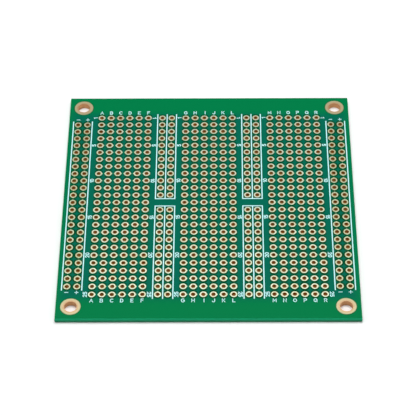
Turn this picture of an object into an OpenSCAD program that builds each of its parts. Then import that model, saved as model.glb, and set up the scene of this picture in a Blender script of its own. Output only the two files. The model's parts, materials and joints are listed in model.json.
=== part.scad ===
// Bare through-hole prototype board: drilled laminate, plated copper strips, solder mask and printed legend.
// Millimetres. Origin under the centre of the board, +Z up, +Y to the rear edge, +X to the right.

/* [Board] */
// board width over the broken score webs
board_w = 76.2; // [60:0.1:92]
// board depth over the broken score webs
board_d = 76.2; // [45:0.1:92]
// laminate thickness without copper
laminate_t = 1.5; // [0.8:0.1:2.4]
// depth of the score groove left on each face along the edges
score_depth = 0.5; // [0.1:0.05:0.7]
// how far the groove runs in from the edge
score_run = 0.13; // [0.05:0.01:0.3]

/* [Hole grid] */
// pitch of the lead holes
pitch = 2.54; // [2.3:0.01:3]
// least distance from the rear and front edges to the outer rows
row_inset = 7.62; // [7:0.01:12]
// middle of a rail pair in from the side edge
rail_inset = 3.81; // [3.5:0.01:6]
// lane between a block's outer column and the nearest bus or rail column, in pitches
lane = 1.5; // [1.2:0.1:2]

/* [Plated holes] */
// finished lead hole
lead_hole_d = 1.05; // [0.8:0.05:1.2]
// land round a lead hole
land_d = 1.8; // [1.6:0.05:2]
// copper wall plated into each hole
plating_t = 0.03; // [0.02:0.005:0.05]
// copper and finish on each face
copper_t = 0.05; // [0.035:0.005:0.1]
// width of the link that joins the lands of one strip
link_w = 0.34; // [0.2:0.05:0.7]

/* [Mounting holes] */
// finished mounting hole
mount_hole_d = 3.175; // [2.5:0.025:3.5]
// land round a mounting hole
mount_land_d = 5.08; // [4:0.02:5.4]
// mounting hole centre in from each edge
mount_inset = 3.81; // [3.5:0.01:4.2]

/* [Solder mask] */
// mask film on bare laminate
mask_t = 0.03; // [0.015:0.005:0.04]
// mask film over a copper link
mask_over_link_t = 0.02; // [0.01:0.005:0.04]
// mask wall beside a copper link
mask_side_t = 0.04; // [0.02:0.01:0.08]
// bare ring between a land and the mask
mask_clearance = 0.125; // [0.05:0.005:0.15]

/* [Legend] */
// ink film thickness
ink_t = 0.02; // [0.01:0.005:0.04]
// width of a legend line
line_w = 0.28; // [0.15:0.01:0.35]
// how far the legend lines run past the last land centre, in pitches
line_past = 0.5; // [0.4:0.05:0.5]

/* [Hidden] */
$fn = 48;
lam_z0 = copper_t;
lam_z1 = copper_t + laminate_t;
land_z1 = lam_z1 + copper_t;
mask_z1 = lam_z1 + mask_t;
mask_low = lam_z0 - mask_t;
ridge_z1 = land_z1 + mask_over_link_t;
lead_drill_d = lead_hole_d + 2 * plating_t;
mount_drill_d = mount_hole_d + 2 * plating_t;
half_w = board_w / 2;
half_d = board_d / 2;
cut_past = 1;
mount_x = half_w - mount_inset;
mount_y = half_d - mount_inset;

// as many rows and columns as the board holds: row 1 at the rear, an odd number of rows round the middle one
rows = 2 * floor((half_d - row_inset) / pitch + 0.01) + 1;
mid_row = (rows + 1) / 2;
rail_at = half_w - rail_inset;
block_cols = floor((rail_at / pitch - 3 * lane) / 1.5 + 0.01);
bus_at = (block_cols / 2 + lane) * pitch;

block_x = [for (b = [-1:1]) b * 2 * bus_at];
bus_x = [for (side = [-1, 1]) for (k = [-0.5, 0.5]) side * bus_at + k * pitch];
rail_x = [for (side = [-1, 1]) for (k = [-0.5, 0.5]) side * rail_at + k * pitch];
all_rows = [for (r = [1:rows]) r];
rear_rows = [for (r = [1:mid_row - 1]) r];
front_rows = [for (r = [mid_row + 1:rows]) r];
rail_rows = [for (r = [2:rows - 1]) r];
mounts = [for (sx = [-1, 1]) for (sy = [-1, 1]) [sx * mount_x, sy * mount_y]];

function row_y(r) = (mid_row - r) * pitch;
function col_x(c) = (c - (block_cols - 1) / 2) * pitch;

// every lead hole centre of the board
function block_points(x0) = [for (r = all_rows) for (c = [0:block_cols - 1]) [x0 + col_x(c), row_y(r)]];
function column_points(x0, rs) = [for (r = rs) [x0, row_y(r)]];
lead_points = concat(
    block_points(block_x[0]), block_points(block_x[1]), block_points(block_x[2]),
    [for (x = bus_x) for (p = concat(column_points(x, rear_rows), column_points(x, front_rows))) p],
    [for (x = rail_x) for (p = column_points(x, rail_rows)) p]);

module dots(points, d) {
    for (p = points) translate(p) circle(d = d);
}

// bars over the links of every strip, w wide, from the first land centre to the last
module link_bars(w) {
    for (x0 = block_x) for (r = all_rows) row_bar(x0, r, w);
    for (x = bus_x) { column_bar(x, rear_rows, w); column_bar(x, front_rows, w); }
    for (x = rail_x) column_bar(x, rail_rows, w);
}
module row_bar(x0, r, w) {
    translate([x0 + col_x(0), row_y(r) - w / 2]) square([(block_cols - 1) * pitch, w]);
}
module column_bar(x, rs, w) {
    translate([x - w / 2, row_y(rs[len(rs) - 1])]) square([w, (len(rs) - 1) * pitch]);
}

// the outer half of the score groove along each edge, above its flat web
module score_edges() {
    for (a = [0, 180]) rotate([0, 0, a]) translate([half_w, 0, 0]) score_slope(board_d);
    for (a = [90, 270]) rotate([0, 0, a]) translate([half_d, 0, 0]) score_slope(board_w);
}
module score_slope(l) {
    translate([0, l / 2 + cut_past, 0]) rotate([90, 0, 0]) linear_extrude(l + 2 * cut_past)
        polygon([[-score_run, 0], [0, -score_depth], [cut_past, -score_depth], [cut_past, cut_past], [-score_run, cut_past]]);
}

module substrate() {
    color([0.36, 0.45, 0.24])
    difference() {
        translate([0, 0, lam_z0]) linear_extrude(laminate_t) difference() {
            square([board_w, board_d], center = true);
            dots(lead_points, lead_drill_d);
            dots(mounts, mount_drill_d);
        }
        translate([0, 0, lam_z1]) score_edges();
        translate([0, 0, lam_z0]) mirror([0, 0, 1]) score_edges();
    }
}

// mask film in plan, open round every land
module mask_plan() {
    difference() {
        square([board_w - 2 * score_run, board_d - 2 * score_run], center = true);
        openings();
    }
}
module openings() {
    dots(lead_points, land_d + 2 * mask_clearance);
    dots(mounts, mount_land_d + 2 * mask_clearance);
}

module solder_mask_top() {
    color([0.0, 0.42, 0.26])
    difference() {
        union() {
            translate([0, 0, lam_z1 + mask_t / 2]) cube([board_w - 2 * score_run, board_d - 2 * score_run, mask_t], center = true);
            translate([0, 0, lam_z1]) linear_extrude(ridge_z1 - lam_z1) link_bars(link_w + 2 * mask_side_t);
        }
        translate([0, 0, lam_z1 - cut_past]) linear_extrude(copper_t + cut_past) link_bars(link_w);
        for (p = lead_points) translate([p[0], p[1], lam_z1 - cut_past]) cylinder(h = 2 * cut_past, d = land_d + 2 * mask_clearance);
        for (p = mounts) translate([p[0], p[1], lam_z1 - cut_past]) cylinder(h = 2 * cut_past, d = mount_land_d + 2 * mask_clearance);
    }
}
module solder_mask_bottom() {
    color([0.0, 0.42, 0.26])
    translate([0, 0, mask_low]) linear_extrude(mask_t) mask_plan();
}

// plated holes at points, with a land of diameter d on both faces
module plated_holes(points, d, hole_d) {
    for (z = [0, lam_z1]) translate([0, 0, z]) linear_extrude(copper_t) dots(points, d);
    translate([0, 0, copper_t / 2]) linear_extrude(lam_z1) dots(points, hole_d + 2 * plating_t);
}
module bores(points, hole_d) {
    translate([0, 0, -cut_past]) linear_extrude(land_z1 + 2 * cut_past) dots(points, hole_d);
}

module row_strips(x0) {
    color([0.86, 0.78, 0.6])
    for (r = all_rows) difference() {
        union() {
            plated_holes([for (c = [0:block_cols - 1]) [x0 + col_x(c), row_y(r)]], land_d, lead_hole_d);
            translate([0, 0, lam_z1]) linear_extrude(copper_t) row_bar(x0, r, link_w);
        }
        bores([for (c = [0:block_cols - 1]) [x0 + col_x(c), row_y(r)]], lead_hole_d);
    }
}
module column_strip(x, rs) {
    color([0.86, 0.78, 0.6])
    difference() {
        union() {
            plated_holes(column_points(x, rs), land_d, lead_hole_d);
            translate([0, 0, lam_z1]) linear_extrude(copper_t) column_bar(x, rs, link_w);
        }
        bores(column_points(x, rs), lead_hole_d);
    }
}
module mounting_land(p) {
    color([0.86, 0.72, 0.5])
    difference() {
        plated_holes([p], mount_land_d, mount_hole_d);
        bores([p], mount_hole_d);
    }
}

// lines half a pitch beside each rail, from x1 to x2
module legend_rail(side) {
    l = 2 * row_y(2) + 2 * line_past * pitch;
    color([0.86, 0.93, 0.93])
    translate([0, 0, mask_z1]) for (k = [-1, 1])
        translate([side * rail_at + k * pitch - line_w / 2, -l / 2, 0]) cube([line_w, l, ink_t]);
}
// three lines round a bus pair and one across its end by the board's middle
module legend_bus(side, dir) {
    y0 = (1 - line_past) * pitch;
    y1 = row_y(1) + line_past * pitch;
    color([0.86, 0.93, 0.93])
    translate([side * bus_at, 0, mask_z1]) linear_extrude(ink_t) union() {
        for (k = [-1, 0, 1]) translate([k * pitch, dir * (y0 + y1) / 2]) square([line_w, y1 - y0 + line_w], center = true);
        translate([0, dir * y0]) square([2 * pitch + line_w, line_w], center = true);
    }
}

substrate();
solder_mask_top();
solder_mask_bottom();
row_strips(block_x[0]);  // row_strips_left
row_strips(block_x[1]);  // row_strips_middle
row_strips(block_x[2]);  // row_strips_right
column_strip(bus_x[0], rear_rows);  // bus_strip_rear_1
column_strip(bus_x[1], rear_rows);  // bus_strip_rear_2
column_strip(bus_x[2], rear_rows);  // bus_strip_rear_3
column_strip(bus_x[3], rear_rows);  // bus_strip_rear_4
column_strip(bus_x[0], front_rows);  // bus_strip_front_1
column_strip(bus_x[1], front_rows);  // bus_strip_front_2
column_strip(bus_x[2], front_rows);  // bus_strip_front_3
column_strip(bus_x[3], front_rows);  // bus_strip_front_4
column_strip(rail_x[0], rail_rows);  // rail_strip_1
column_strip(rail_x[1], rail_rows);  // rail_strip_2
column_strip(rail_x[2], rail_rows);  // rail_strip_3
column_strip(rail_x[3], rail_rows);  // rail_strip_4
mounting_land(mounts[0]);  // mounting_land_front_left
mounting_land(mounts[1]);  // mounting_land_rear_left
mounting_land(mounts[2]);  // mounting_land_front_right
mounting_land(mounts[3]);  // mounting_land_rear_right
legend_rail(-1);  // legend_rail_left
legend_rail(1);  // legend_rail_right
legend_bus(-1, 1);  // legend_bus_rear_left
legend_bus(1, 1);  // legend_bus_rear_right
legend_bus(-1, -1);  // legend_bus_front_left
legend_bus(1, -1);  // legend_bus_front_right
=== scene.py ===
import json
import math
from functools import reduce

import bpy
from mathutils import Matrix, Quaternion, Vector


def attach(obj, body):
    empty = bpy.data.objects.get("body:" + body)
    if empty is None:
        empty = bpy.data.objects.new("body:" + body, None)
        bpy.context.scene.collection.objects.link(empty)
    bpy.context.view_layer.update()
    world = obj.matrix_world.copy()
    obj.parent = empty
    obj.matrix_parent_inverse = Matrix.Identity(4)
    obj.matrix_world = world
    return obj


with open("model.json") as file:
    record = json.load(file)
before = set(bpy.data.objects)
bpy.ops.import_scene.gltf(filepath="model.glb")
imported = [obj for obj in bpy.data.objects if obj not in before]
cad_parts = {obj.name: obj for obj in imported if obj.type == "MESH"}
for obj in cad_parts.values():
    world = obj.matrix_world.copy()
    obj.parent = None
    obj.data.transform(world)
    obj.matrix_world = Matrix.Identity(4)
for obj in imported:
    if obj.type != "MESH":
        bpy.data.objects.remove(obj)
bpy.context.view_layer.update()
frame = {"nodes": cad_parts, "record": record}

mm = 0.001  # Blender works in metres, the board is thought of in millimetres
pitch = 2.54  # mm from hole to hole
topOfMask = 1.58  # where the printed films lie, in mm above the floor
print("frame loaded:", len(frame["nodes"]), "nodes")


# Camera: a long lens from the front, fitted to the hole grid
cameraSettings = {
    "place": (3.16, -299.91, 346.09),  # mm
    "lookAt": (-0.19, -2.0, 1.6),
    "rollDegrees": -0.613,
    "lens": 151.34,
    "sensor": 36.0,
    "nearest": 0.01,  # metres
    "farthest": 20.0,
}


def makeCamera(s):
    data = bpy.data.cameras.new("boardCamera")
    data.lens = s["lens"]
    data.sensor_width = s["sensor"]
    data.sensor_fit = "HORIZONTAL"
    data.clip_start = s["nearest"]
    data.clip_end = s["farthest"]
    camera = bpy.data.objects.new("boardCamera", data)
    bpy.context.scene.collection.objects.link(camera)
    place = Vector(s["place"]) * mm
    aim = Vector(s["lookAt"]) * mm - place
    roll = Quaternion((0, 0, 1), math.radians(s["rollDegrees"]))
    camera.location = place
    camera.rotation_mode = "QUATERNION"
    camera.rotation_quaternion = aim.to_track_quat("-Z", "Y") @ roll
    bpy.context.scene.camera = camera


makeCamera(cameraSettings)
print("camera set")


# Shader maths: a wrapped socket takes + - * / with numbers or other wrapped sockets
class Wire:
    def __init__(self, tree, socket):
        self.tree = tree
        self.socket = socket

    def maths(self, operation, other, swapped=False):
        pair = (other, self) if swapped else (self, other)
        values = {0: pair[0], 1: pair[1]}
        return self.tree.node("ShaderNodeMath", {"operation": operation}, values)

    def __add__(self, other):
        return self.maths("ADD", other)

    def __radd__(self, other):
        return self.maths("ADD", other, True)

    def __sub__(self, other):
        return self.maths("SUBTRACT", other)

    def __rsub__(self, other):
        return self.maths("SUBTRACT", other, True)

    def __mul__(self, other):
        return self.maths("MULTIPLY", other)

    def __rmul__(self, other):
        return self.maths("MULTIPLY", other, True)

    def __truediv__(self, other):
        return self.maths("DIVIDE", other)

    def __rtruediv__(self, other):
        return self.maths("DIVIDE", other, True)

    def over(self, low, high):  # 0 below low, 1 above high, smooth between
        settings = {"interpolation_type": "SMOOTHSTEP"}
        values = {"Value": self, "From Min": low, "From Max": high}
        return self.tree.node("ShaderNodeMapRange", settings, values, "Result")

    def overMm(self, low, high):  # the same with both ends in mm, for a place in metres
        return self.over(low * mm, high * mm)

    def size(self):
        return self.tree.node("ShaderNodeMath", {"operation": "ABSOLUTE"}, {0: self})

    def larger(self, other):
        return self.maths("MAXIMUM", other)

    def smaller(self, other):
        return self.maths("MINIMUM", other)

    def offWhole(self):  # how far from the nearest whole number
        return self.maths("PINGPONG", 0.5)

    def reach(self, other):  # length of the slanted side over two legs
        return (self * self + other * other).maths("POWER", 0.5)


class Finish:
    def __init__(self, name):
        self.material = bpy.data.materials.new(name)
        self.material.use_nodes = True
        self.nodes = self.material.node_tree.nodes
        self.links = self.material.node_tree.links
        self.shader = self.nodes["Principled BSDF"]

    def feed(self, socket, value):
        if isinstance(value, Wire):
            self.links.new(value.socket, socket)
        elif socket.type == "RGBA":
            socket.default_value = (*value, 1.0)
        else:
            socket.default_value = value

    def node(self, kind, settings=None, values=None, output=0):
        made = self.nodes.new(kind)
        for key, value in (settings or {}).items():
            setattr(made, key, value)
        for key, value in (values or {}).items():
            self.feed(made.inputs[key], value)
        return Wire(self, made.outputs[output])

    def place(self):  # object coordinates, in metres
        return self.node("ShaderNodeTexCoord", output="Object")

    def axes(self, vector):
        split = self.node("ShaderNodeSeparateXYZ", {}, {0: vector})
        return [Wire(self, output) for output in split.socket.node.outputs]

    def noise(self, scale, detail=2.0, rough=0.5, vector=None):
        values = {"Vector": vector or self.place(), "Scale": scale}
        values.update({"Detail": detail, "Roughness": rough})
        return self.node("ShaderNodeTexNoise", {}, values)

    def mixed(self, factor, first, second, blend="MIX"):
        settings = {"data_type": "RGBA", "blend_type": blend}
        values = {"Factor": factor, "A": first, "B": second}
        return self.node("ShaderNodeMix", settings, values, "Result")

    def bump(self, height, strength, depth):  # depth in mm
        values = {"Height": height, "Strength": strength, "Distance": depth * mm}
        return self.node("ShaderNodeBump", {}, values)

    def set(self, **sockets):
        for key, value in sockets.items():
            name = " ".join(word.capitalize() for word in key.split("_")).replace("Ior", "IOR")
            self.feed(self.shader.inputs[name], value)
        return self.material


# Stage: a white table top and soft boxes
stageSettings = {
    "tableSize": 6.0,  # metres
    "tableColour": (0.93, 0.93, 0.93),
    "tableShade": (0.9207, 0.9207, 0.9207),
    "tableGrain": 40.0,
    "tableRoughness": 0.9,
    "tableSpecular": 0.1,
    "worldColour": (1.0, 1.0, 1.0),
    "worldStrength": 0.156,
    "softBoxes": [  # name, place and aim in mm, width and height in mm, watts
        ("softBoxTop", (0, 90, 610), (0, 0, 0), (460, 420), 3.6),
        ("softBoxLeft", (-560, -120, 420), (0, 0, 0), (420, 420), 0.94),
        ("softBoxRight", (560, -120, 420), (0, 0, 0), (420, 420), 0.94),
    ],
}


def makeStage(s):
    half = s["tableSize"] / 2
    mesh = bpy.data.meshes.new("tableTop")
    corners = [(-half, -half, 0), (half, -half, 0), (half, half, 0), (-half, half, 0)]
    mesh.from_pydata(corners, [], [(0, 1, 2, 3)])
    table = bpy.data.objects.new("tableTop", mesh)
    bpy.context.scene.collection.objects.link(table)
    finish = Finish("paleTable")
    grain = finish.noise(s["tableGrain"])
    mesh.materials.append(finish.set(
        base_color=finish.mixed(grain, s["tableColour"], s["tableShade"]),
        roughness=s["tableRoughness"],
        specular_ior_level=s["tableSpecular"],
    ))
    world = bpy.data.worlds.new("studioAir")
    world.use_nodes = True
    air = world.node_tree.nodes["Background"]
    air.inputs["Color"].default_value = (*s["worldColour"], 1.0)
    air.inputs["Strength"].default_value = s["worldStrength"]
    bpy.context.scene.world = world
    for name, place, aim, size, watts in s["softBoxes"]:
        data = bpy.data.lights.new(name, "AREA")
        data.shape = "RECTANGLE"
        data.size, data.size_y = size[0] * mm, size[1] * mm
        data.energy = watts
        lamp = bpy.data.objects.new(name, data)
        bpy.context.scene.collection.objects.link(lamp)
        lamp.location = Vector(place) * mm
        lamp.rotation_mode = "QUATERNION"
        lamp.rotation_quaternion = (Vector(aim) * mm - lamp.location).to_track_quat("-Z", "Y")


makeStage(stageSettings)
bpy.context.scene.view_settings.view_transform = "Standard"
print("stage and lights set")


# The hole grid mirrors both ways, so its places count in pitches from the board's middle
gridSettings = {
    "groups": [  # first and last column, first and last row, and whether the links lie along x
        (0.5, 2.5, 0, 12, True),
        (6.5, 11.5, 0, 12, True),
        (4, 5, 1, 12, False),
        (13, 14, 0, 11, False),
    ],
    "clearOfLinks": (0.3, 0.75),  # share of the way that goes along y
    "mountAt": 34.29,  # mm from the middle, both ways
    "leastWay": 0.001,  # mm, so that nothing is divided by zero
}


class HoleGrid:
    def __init__(self, finish, s):
        self.settings = s
        self.x, self.y = [axis.size() / mm for axis in finish.axes(finish.place())[:2]]
        column, row = self.x / pitch, self.y / pitch
        self.ways = []  # mm to the nearest hole of each group: straight, and along y
        for first, last, low, high, linksAcross in s["groups"]:
            aside = (column - first).offWhole().larger(first - column).larger(column - last)
            ahead = row.offWhole().larger(low - row).larger(row - high) * pitch
            self.ways.append(((aside * pitch).reach(ahead), ahead, linksAcross))

    def fromHole(self):  # mm from the middle of the nearest lead hole
        return reduce(Wire.smaller, [straight for straight, ahead, linksAcross in self.ways])

    def fromMount(self):  # mm from the middle of the nearest mounting hole
        mountAt = self.settings["mountAt"]
        return (self.x - mountAt).reach(self.y - mountAt)

    def beside(self, low, high):  # 1 next to a land, 0 from high mm on and towards a linked one
        shares = []
        for straight, ahead, linksAcross in self.ways:
            near = 1 - straight.over(low, high)
            if linksAcross:
                share = ahead / straight.larger(self.settings["leastWay"])
                near = near * share.over(*self.settings["clearOfLinks"])
            shares.append(near)
        return reduce(Wire.larger, shares)


# Finishes. A span gives the two ends of a smooth change, a bump its strength and its depth in mm,
# and a noise its scale, its detail and, where it isn't the usual half, its roughness
maskFinish = {
    # The border is brighter with painted light that shines up through the laminate from the
    # table; among the pads the mask is darker with painted shade where copper beneath blocks that
    # light
    "borderLitFromBelow": (0.0, 0.185, 0.057),
    "shadeAmongPads": (0.001, 0.13, 0.08),
    "fieldX": 36.9,  # half size of the field of painted shade that the pads fill, in mm
    "fieldY": 31.9,
    "fade": 2.2,
    "cloudNoise": (60.0, 3.0),
    "cloudTint": (0.8, 0.86, 0.9),
    "cloudShow": 0.35,
    "overLink": (0.006, 0.165, 0.062),
    "linkSpan": (1.592, 1.612),  # mm above the floor
    "linkShow": 0.6,
    "shadeBesideLand": (1.0, 0.42, 0.12),  # painted shade on the mask around each land
    "thinAndShadeSpan": (1.05, 1.55),  # mm from the middle of a hole
    "roughness": 0.26,
    "cloudRoughness": 0.1,
    "specular": 0.03,
    "peelScale": 900.0,
    "peelBump": (0.25, 0.004),
}


def greenMask(name, s):
    finish = Finish(name)
    x, y, z = finish.axes(finish.place())
    # painted light on the border and painted shade over the pad field
    edge = (x.size() / (s["fieldX"] * mm)).larger(y.size() / (s["fieldY"] * mm))
    fade = s["fade"] / s["fieldX"]
    inside = 1 - edge.over(1 - fade, 1 + fade)
    backlitField = finish.mixed(inside, s["borderLitFromBelow"], s["shadeAmongPads"])
    cloud = finish.noise(*s["cloudNoise"])
    varied = finish.mixed(cloud * s["cloudShow"], backlitField, s["cloudTint"], "MULTIPLY")
    raised = z.overMm(*s["linkSpan"])
    linked = finish.mixed(raised * s["linkShow"], varied, s["overLink"])
    # painted shade around the lands, fading out away from them and kept off the links
    thinAndShade = HoleGrid(finish, gridSettings).beside(*s["thinAndShadeSpan"])
    peel = finish.noise(s["peelScale"])
    return finish.set(
        base_color=finish.mixed(thinAndShade, linked, s["shadeBesideLand"], "MULTIPLY"),
        roughness=s["roughness"] + cloud * s["cloudRoughness"],
        specular_ior_level=s["specular"],
        normal=finish.bump(peel, *s["peelBump"]),
    )


laminateFinish = {
    "glassEpoxy": (0.022, 0.05, 0.014),
    # green of the side faces, with painted light on their upper part and painted shade lower down
    "edgeLitUpper": (0.008, 0.43, 0.19),
    "edgeShadedLower": (0.018, 0.24, 0.115),
    "edgeSpan": (37.862, 37.9),  # mm from the middle, where the broken edges begin
    "edgeLitSpan": (0.75, 1.15),  # mm above the floor, from painted shade low on the side faces to painted light higher up
    "layerNoise": (9000.0, 2.0, 0.6),
    "layerStretch": (0.12, 0.12, 1.0),
    "layerTint": (0.6, 0.62, 0.55),
    "layerShow": 0.3,
    "roughness": 0.62,
    "specular": 0.06,
    "layerBump": (0.4, 0.01),
}


def glassEpoxy(name, s):
    finish = Finish(name)
    place = finish.place()
    x, y, z = finish.axes(place)
    onEdge = x.size().larger(y.size()).overMm(*s["edgeSpan"])
    stretch = {"operation": "MULTIPLY"}
    stretched = finish.node("ShaderNodeVectorMath", stretch, {0: place, 1: s["layerStretch"]})
    layers = finish.noise(*s["layerNoise"], stretched)
    # side faces: painted light above, painted shade towards the floor
    edge = finish.mixed(z.overMm(*s["edgeLitSpan"]), s["edgeShadedLower"], s["edgeLitUpper"])
    colour = finish.mixed(onEdge, s["glassEpoxy"], edge)
    return finish.set(
        base_color=finish.mixed(layers * s["layerShow"], colour, s["layerTint"], "MULTIPLY"),
        roughness=s["roughness"],
        specular_ior_level=s["specular"],
        normal=finish.bump(layers, *s["layerBump"]),
    )


goldFinish = {
    "gold": (0.675, 0.71, 0.54),
    "worn": (0.63, 0.62, 0.405),
    "patchScale": 420.0,
    "wornSpan": (0.35, 0.75),
    "railTint": (0.85, 0.84, 0.75),  # the rails' lands are deeper in colour
    "railsFrom": (31.0, 31.5),  # mm from the middle of the board, past the outer columns
    "lip": (0.72, 0.58, 0.42),  # tint where a land turns into its hole
    "lipSpan": (0.5, 0.72),  # mm from the middle of a hole
    "rim": (0.68, 0.92, 0.89),  # tint where a land meets the mask
    "rimSpan": (0.72, 0.88),
    # copper tone of the hole walls, darkened with painted shade
    "wall": (0.4, 0.17, 0.02),
    "wallLow": (0.58, 0.28, 0.045),  # the foot of a hole, lit from the table
    "wallSpan": (0.5, 1.35),  # mm above the floor
    "faceSpan": (0.3, 0.8),  # how far a face looks up or down before it is no wall
    "mountInner": (0.53, 0.345, 0.19),
    "mountOuter": (0.49, 0.44, 0.257),
    "mountSpan": (1.65, 2.35),
    "mountRimSpan": (2.3, 2.5),
    "mountWall": (0.6, 0.33, 0.15),
    "mountsFrom": (31.55, 31.65),  # mm from the middle of the board, past the outer rows
    "metallic": 0.8,
    "roughness": 0.42,
    "patchRoughness": 0.12,
    "brushScale": 2600.0,
    "brushBump": (0.2, 0.004),
}


def platedGold(name, s):
    finish = Finish(name)
    x, y, z = finish.axes(finish.place())
    grid = HoleGrid(finish, gridSettings)
    fromHole, fromMount = grid.fromHole(), grid.fromMount()
    mount = y.size().overMm(*s["mountsFrom"])
    patches = finish.noise(s["patchScale"])
    face = finish.mixed(patches.over(*s["wornSpan"]), s["gold"], s["worn"])
    face = finish.mixed(x.size().overMm(*s["railsFrom"]), face, s["railTint"], "MULTIPLY")
    face = finish.mixed(1 - fromHole.over(*s["lipSpan"]), face, s["lip"], "MULTIPLY")
    outward = fromMount.over(*s["mountSpan"])
    face = finish.mixed(mount, face, finish.mixed(outward, s["mountInner"], s["mountOuter"]))
    rim = fromHole.over(*s["rimSpan"]) * (1 - mount) + fromMount.over(*s["mountRimSpan"]) * mount
    face = finish.mixed(rim, face, s["rim"], "MULTIPLY")
    # hole walls: painted shade higher up, painted light from the table at the foot
    wall = finish.mixed(z.overMm(*s["wallSpan"]), s["wallLow"], s["wall"])
    wall = finish.mixed(mount, wall, s["mountWall"])
    upright = finish.axes(finish.node("ShaderNodeTexCoord", output="Normal"))[2]
    brushed = finish.noise(s["brushScale"])
    return finish.set(
        base_color=finish.mixed(upright.size().over(*s["faceSpan"]), wall, face),
        metallic=s["metallic"],
        roughness=s["roughness"] + patches * s["patchRoughness"],
        normal=finish.bump(brushed, *s["brushBump"]),
    )


inkFinish = {
    "ink": (0.53, 0.9, 0.92),
    "thinAndShade": (0.3, 0.7, 0.64),
    "coverNoise": (1400.0, 3.0, 0.65),
    "thinAndShadeSpan": (0.58, 0.8),
    "thinShow": 0.5,
    "roughness": 0.5,
    "coverRoughness": 0.15,
    "specular": 0.3,
    "coverBump": (0.3, 0.004),
}


def printedInk(name, s):
    finish = Finish(name)
    cover = finish.noise(*s["coverNoise"])
    thinAndShade = cover.over(*s["thinAndShadeSpan"]) * s["thinShow"]
    return finish.set(
        base_color=finish.mixed(thinAndShade, s["ink"], s["thinAndShade"]),
        roughness=s["roughness"] + cover * s["coverRoughness"],
        specular_ior_level=s["specular"],
        normal=finish.bump(cover, *s["coverBump"]),
    )


finishes = {
    "solder_mask": greenMask("greenSolderMask", maskFinish),
    "laminate": glassEpoxy("glassEpoxyLaminate", laminateFinish),
    "plated_copper": platedGold("platedGold", goldFinish),
    "legend_ink": printedInk("whiteInk", inkFinish),
}


def dressNodes():
    slots = {part["node"]: part["material_slot"] for part in frame["record"]["subparts"]}
    for node, slot in slots.items():
        carried = bpy.data.objects[node]
        if not carried.material_slots:
            carried.data.materials.append(finishes[slot])
        for material in carried.material_slots:
            material.material = finishes[slot]


dressNodes()
print("finishes on", len(finishes), "slots")


# Small print: letters and numbers drawn as strokes on the mask
def arc(cx, cy, rx, ry, start, end, steps=6):
    turns = [math.radians(start + (end - start) * i / steps) for i in range(steps + 1)]
    return [(cx + rx * math.cos(t), cy + ry * math.sin(t)) for t in turns]


# Strokes of each sign, upright in a cell one unit high
strokes = {
    "A": [[(0, 0), (0.4, 1), (0.8, 0)], [(0.13, 0.33), (0.67, 0.33)]],
    "B": [[(0.38, 0.53), (0, 0.53), (0, 1)] + arc(0.38, 0.765, 0.24, 0.235, 90, -90),
          [(0, 0.53), (0, 0)] + arc(0.4, 0.265, 0.26, 0.265, -90, 90)],
    "C": [arc(0.42, 0.5, 0.42, 0.5, 50, 310, 10)],
    "D": [[(0, 0), (0, 1)] + arc(0.24, 0.5, 0.42, 0.5, 90, -90, 8) + [(0, 0)]],
    "E": [[(0.6, 1), (0, 1), (0, 0), (0.6, 0)], [(0, 0.53), (0.48, 0.53)]],
    "F": [[(0.6, 1), (0, 1), (0, 0)], [(0, 0.53), (0.48, 0.53)]],
    "G": [arc(0.42, 0.5, 0.42, 0.5, 50, 345, 11) + [(0.82, 0.47), (0.5, 0.47)]],
    "H": [[(0, 0), (0, 1)], [(0.68, 0), (0.68, 1)], [(0, 0.52), (0.68, 0.52)]],
    "I": [[(0.4, 0), (0.4, 1)]],
    "J": [[(0.62, 1), (0.62, 0.3)] + arc(0.34, 0.28, 0.28, 0.28, 0, -180, 6)],
    "K": [[(0, 0), (0, 1)], [(0.64, 1), (0.02, 0.42)], [(0.22, 0.6), (0.68, 0)]],
    "L": [[(0, 1), (0, 0), (0.58, 0)]],
    "M": [[(0, 0), (0, 1), (0.4, 0.3), (0.8, 1), (0.8, 0)]],
    "N": [[(0, 0), (0, 1), (0.7, 0), (0.7, 1)]],
    "O": [arc(0.39, 0.5, 0.39, 0.5, 0, 360, 14)],
    "P": [[(0, 0), (0, 1)] + arc(0.37, 0.73, 0.27, 0.27, 90, -90) + [(0, 0.46)]],
    "Q": [arc(0.39, 0.5, 0.39, 0.5, 0, 360, 14), [(0.46, 0.28), (0.78, -0.04)]],
    "R": [[(0, 0), (0, 1)] + arc(0.38, 0.74, 0.26, 0.26, 90, -90) + [(0, 0.48)],
          [(0.32, 0.48), (0.66, 0)]],
    "0": [arc(0.34, 0.5, 0.34, 0.5, 0, 360, 14)],
    "1": [[(0, 0.76), (0.26, 1), (0.26, 0)]],
    "2": [arc(0.34, 0.7, 0.32, 0.3, 165, -35, 7) + [(0, 0), (0.68, 0)]],
    "5": [[(0.62, 1), (0.08, 1), (0.04, 0.56)] + arc(0.32, 0.32, 0.33, 0.32, 115, -150, 8)],
    "-": [[(0, 0.5), (0.86, 0.5)]],
    "+": [[(0, 0.5), (0.86, 0.5)], [(0.43, 0.07), (0.43, 0.93)]],
}


strokeSettings = {
    "sharpest": 1.6,  # how far a bend may reach out, in half widths
    "tip": 0.28,  # share by which each side of a stroke's tip is drawn in
    "sameSpot": 1e-6,  # mm, within which a line that ends where it starts is a ring
}


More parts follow.
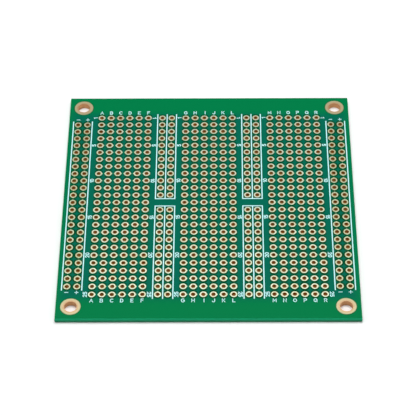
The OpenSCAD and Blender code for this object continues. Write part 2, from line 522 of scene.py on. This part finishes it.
class InkSheet:  # gathers strokes of ink, thickness mm high on the mask, into one mesh
    def __init__(self, name, thickness):
        self.name = name
        self.thickness = thickness
        self.points = []
        self.faces = []

    def outline(self, line, width):  # left and right side of a bent stroke, and whether it closes
        half = width / 2
        closed = math.dist(line[0], line[-1]) < strokeSettings["sameSpot"]
        sides = ([], [])
        for i, (x, y) in enumerate(line):
            before = line[i - 1] if i else (line[-2] if closed else None)
            after = line[i + 1] if i + 1 < len(line) else (line[1] if closed else None)
            ways = []
            if before:
                ways.append((x - before[0], y - before[1]))
            if after:
                ways.append((after[0] - x, after[1] - y))
            ways = [(a / math.hypot(a, b), b / math.hypot(a, b)) for a, b in ways]
            nx, ny = -sum(w[1] for w in ways), sum(w[0] for w in ways)
            length = math.hypot(nx, ny)
            nx, ny = nx / length, ny / length
            bend = ways[0][0] * ny - ways[0][1] * nx
            out = half / max(bend, 1 / strokeSettings["sharpest"])
            sides[0].append((x + nx * out, y + ny * out))
            sides[1].append((x - nx * out, y - ny * out))
        return sides, closed

    def ribbon(self, sides, closed, base):
        count = len(sides[0])
        rails = []  # first point of each long edge: lower left and right, upper left and right
        for z in (base, base + self.thickness):
            for side in sides:
                rails.append(len(self.points))
                self.points += [(x * mm, y * mm, z * mm) for x, y in side]
        lowLeft, lowRight, highLeft, highRight = rails
        for a in range(count - 1):
            b = a + 1
            self.faces.append((highRight + a, highRight + b, highLeft + b, highLeft + a))
            self.faces.append((lowLeft + a, lowLeft + b, lowRight + b, lowRight + a))
            self.faces.append((lowLeft + b, lowLeft + a, highLeft + a, highLeft + b))
            self.faces.append((lowRight + a, lowRight + b, highRight + b, highRight + a))
        if not closed:
            end = count - 1
            self.faces.append((lowLeft, lowRight, highRight, highLeft))
            self.faces.append((lowRight + end, lowLeft + end, highLeft + end, highRight + end))

    def stroke(self, line, width):
        sides, closed = self.outline(line, width)
        if not closed:  # a narrower step at each end rounds it off
            sides, closed = self.outline(self.lengthened(line, width), width)
            for side, other in (sides, sides[::-1]):
                for end in (0, -1):
                    pairs = zip(side[end], other[end])
                    side[end] = tuple(s + (o - s) * strokeSettings["tip"] for s, o in pairs)
        self.ribbon(sides, closed, topOfMask)

    def lengthened(self, line, width):  # adds a point half a width past each end
        def past(tip, inner):
            length = math.dist(tip, inner)
            return tuple(t + (t - i) / length * width / 2 for t, i in zip(tip, inner))
        return [past(line[0], line[1])] + list(line) + [past(line[-1], line[-2])]

    def sign(self, text, x, y, high, width, gap=0, turn=0):
        cell = high - width  # centre lines, so the ink is as high as asked
        spans = [max(p[0] for line in strokes[c] for p in line) * cell for c in text]
        start = -(sum(spans) + gap * (len(text) - 1)) / 2
        ct, st = math.cos(math.radians(turn)), math.sin(math.radians(turn))
        for c, span in zip(text, spans):
            for line in strokes[c]:
                placed = []
                for px, py in line:
                    u = start + px * cell
                    v = (py - 0.5) * cell
                    placed.append((x + u * ct - v * st, y + u * st + v * ct))
                self.stroke(placed, width)
            start += span + gap

    def finish(self):
        mesh = bpy.data.meshes.new(self.name)
        mesh.from_pydata(self.points, [], self.faces)
        mesh.validate()
        mesh.materials.append(finishes["legend_ink"])
        piece = bpy.data.objects.new(self.name, mesh)
        bpy.context.scene.collection.objects.link(piece)
        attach(piece, "root")


printSettings = {
    "ink": 0.02,  # mm, as all heights and line widths here
    "letterHigh": 1.17,
    "letterLine": 0.2,
    "letterAt": 12.76,  # pitches from the board's middle to the middle of a letter
    "numberHigh": 1.1,
    "numberLine": 0.21,
    "numberGap": 0.28,
    "numberAway": 0.66,  # pitches from a block's outer column to the middle of its numbers
    "signHigh": 1.15,
    "signLine": 0.19,
    "signAt": 11.74,
    "middleRow": 13,
    "blockWide": 5,  # pitches from a block's first column to its last
    "blocks": {"ABCDEF": -11.5, "GHIJKL": -2.5, "MNOPQR": 6.5},
    "rows": (1, 5, 10, 15, 20, 25),
    "rails": {-14: "-", -13: "+", 13: "-", 14: "+"},
}


def printBoard(s):
    letters = InkSheet("columnLetters", s["ink"])
    numbers = InkSheet("rowNumbers", s["ink"])
    signs = InkSheet("railSigns", s["ink"])
    letterSize = (s["letterHigh"], s["letterLine"])
    numberSize = (s["numberHigh"], s["numberLine"], s["numberGap"])
    for names, first in s["blocks"].items():
        for i, name in enumerate(names):
            for end in (1, -1):
                letters.sign(name, (first + i) * pitch, end * s["letterAt"] * pitch, *letterSize)
        left, right = first - s["numberAway"], first + s["blockWide"] + s["numberAway"]
        for row in s["rows"]:
            y = (s["middleRow"] - row) * pitch
            for turn, x in ((90, left), (-90, right)):
                numbers.sign(str(row), x * pitch, y, *numberSize, turn)
    for x, name in s["rails"].items():
        for end in (1, -1):
            y = end * s["signAt"] * pitch
            signs.sign(name, x * pitch, y, s["signHigh"], s["signLine"])
    for sheet in (letters, numbers, signs):
        sheet.finish()


printBoard(printSettings)
print("small print drawn")
